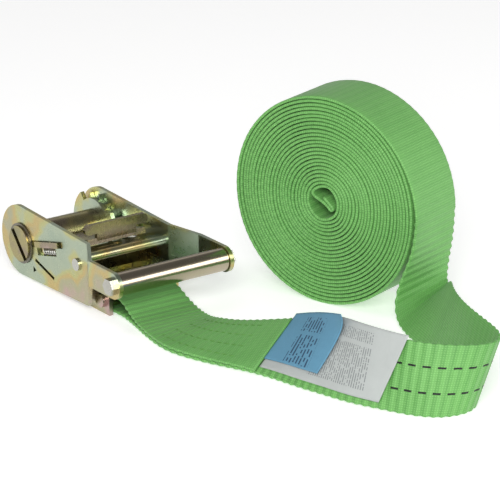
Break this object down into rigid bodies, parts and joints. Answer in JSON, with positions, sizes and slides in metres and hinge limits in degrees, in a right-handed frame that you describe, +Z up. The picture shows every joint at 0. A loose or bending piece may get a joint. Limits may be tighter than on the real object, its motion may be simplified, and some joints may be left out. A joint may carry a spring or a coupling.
{
  "type": "ratchet strap",
  "caption": "Tie-down strap: a hand ratchet with folded handle on the fixed end of green webbing, the free webbing rolled into a coil.",
  "frame": {"origin": "centre of the underside of the ratchet frame's base plate, on the surface that the ratchet stands on", "axes": "+X from the spool towards the grip and the webbing, +Y from the near side to the far side (the coil's side), +Z up"},
  "size_m": [0.3038, 0.1649, 0.1086],
  "materials": {
    "yellow_zinc": "yellow-passivated zinc, satin",
    "bright_zinc": "bright zinc",
    "spring_steel": "dark spring steel",
    "green_webbing": "woven polyester",
    "green_thread": "sewing thread",
    "white_label": "matte synthetic paper",
    "blue_label": "matte synthetic paper"
  },
  "bodies": {
    "frame": {"ratchet_frame": "yellow_zinc", "anchor_pin": "yellow_zinc", "anchor_sleeve": "yellow_zinc", "lock_pawl_spring": "bright_zinc", "webbing_anchor_loop": "green_webbing", "webbing_short_end": "green_webbing", "webbing_free_run": "green_webbing", "webbing_coil": "green_webbing", "seam_stitches": "green_thread", "label_white_leaf": "white_label", "label_blue_leaf": "blue_label"},
    "handle": {"handle": "yellow_zinc", "handle_rivets": "bright_zinc", "grip_bolt": "bright_zinc", "grip_nut": "bright_zinc", "drive_pawl_springs": "bright_zinc"},
    "grip": {"grip_tube": "yellow_zinc"},
    "drive_pawl": {"drive_pawl": "yellow_zinc"},
    "lock_pawl": {"lock_pawl": "yellow_zinc"},
    "spool": {"spool_half_upper": "yellow_zinc", "spool_half_lower": "yellow_zinc", "ratchet_wheel_near": "yellow_zinc", "ratchet_wheel_far": "yellow_zinc", "spool_circlip_near": "spring_steel", "spool_circlip_far": "spring_steel"}
  },
  "joints": [
    {"name": "handle_swing", "type": "hinge", "parent": "frame", "child": "handle", "pos_m": [-0.038, 0, 0.0185], "axis": [0, -1, 0], "range_deg": [0, 180]},
    {"name": "spool_spin", "type": "hinge", "parent": "frame", "child": "spool", "pos_m": [-0.038, 0, 0.0185], "axis": [0, -1, 0], "continuous": true},
    {"name": "drive_pawl_slide", "type": "slide", "parent": "handle", "child": "drive_pawl", "axis": [0.9703, 0, 0.2419], "range_m": [-0.0049, 0.002], "stiffness_N_per_m": 400, "deforming": ["drive_pawl_springs"]},
    {"name": "lock_pawl_slide", "type": "slide", "parent": "frame", "child": "lock_pawl", "axis": [0.9613, 0, -0.2756], "range_m": [-0.0031, 0.002], "stiffness_N_per_m": 400, "deforming": ["lock_pawl_spring"]},
    {"name": "grip_spin", "type": "hinge", "parent": "handle", "child": "grip", "pos_m": [0.063, 0, 0.0265], "axis": [0, 1, 0], "continuous": true}
  ]
}
